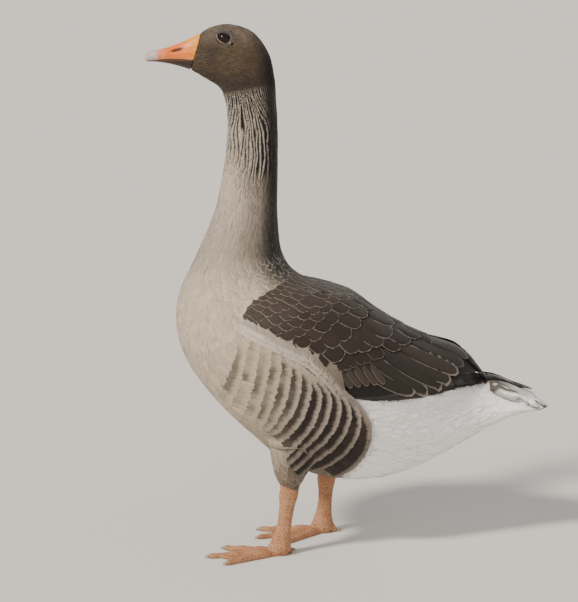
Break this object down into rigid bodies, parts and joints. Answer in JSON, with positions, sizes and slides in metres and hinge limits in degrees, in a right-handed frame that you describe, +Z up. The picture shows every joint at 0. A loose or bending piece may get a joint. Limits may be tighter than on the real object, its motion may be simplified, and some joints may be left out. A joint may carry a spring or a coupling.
{
  "type": "domestic goose",
  "caption": "Standing domestic goose with an upright neck, folded wings, a short fanned tail and webbed feet, life-size and still.",
  "frame": {"origin": "on the floor under the middle of the bird's overall box, between the bill tip and the tail tip", "axes": "+Z up, -X towards the bill, -Y towards the bird's left side"},
  "size_m": [0.576, 0.2616, 0.7485],
  "materials": {
    "head_plumage": "matte",
    "neck_plumage": "matte",
    "breast_plumage": "matte",
    "white_plumage": "matte",
    "tail_feathers": "matte",
    "wing_coverts": "matte",
    "wing_quills": "matte",
    "wing_primaries": "satin",
    "eye": "gloss",
    "bill_horn": "satin",
    "bill_nail": "satin",
    "leg_skin": "matte",
    "claw_horn": "satin"
  },
  "bodies": {
    "root": {"head": "head_plumage", "neck_upper": "neck_plumage", "neck_lower": "neck_plumage", "breast": "breast_plumage", "trunk": "breast_plumage", "rump": "white_plumage", "tail": "tail_feathers", "eye_left": "eye", "eye_right": "eye", "bill_upper": "bill_horn", "bill_nail": "bill_nail", "bill_lower": "bill_horn", "wing_left_coverts": "wing_coverts", "wing_left_secondaries": "wing_quills", "wing_left_primaries": "wing_primaries", "wing_right_coverts": "wing_coverts", "wing_right_secondaries": "wing_quills", "wing_right_primaries": "wing_primaries", "thigh_left": "breast_plumage", "shank_left": "leg_skin", "foot_left": "leg_skin", "claw_left_inner": "claw_horn", "claw_left_middle": "claw_horn", "claw_left_outer": "claw_horn", "claw_left_hallux": "claw_horn", "thigh_right": "breast_plumage", "shank_right": "leg_skin", "foot_right": "leg_skin", "claw_right_inner": "claw_horn", "claw_right_middle": "claw_horn", "claw_right_outer": "claw_horn", "claw_right_hallux": "claw_horn"}
  },
  "joints": []
}
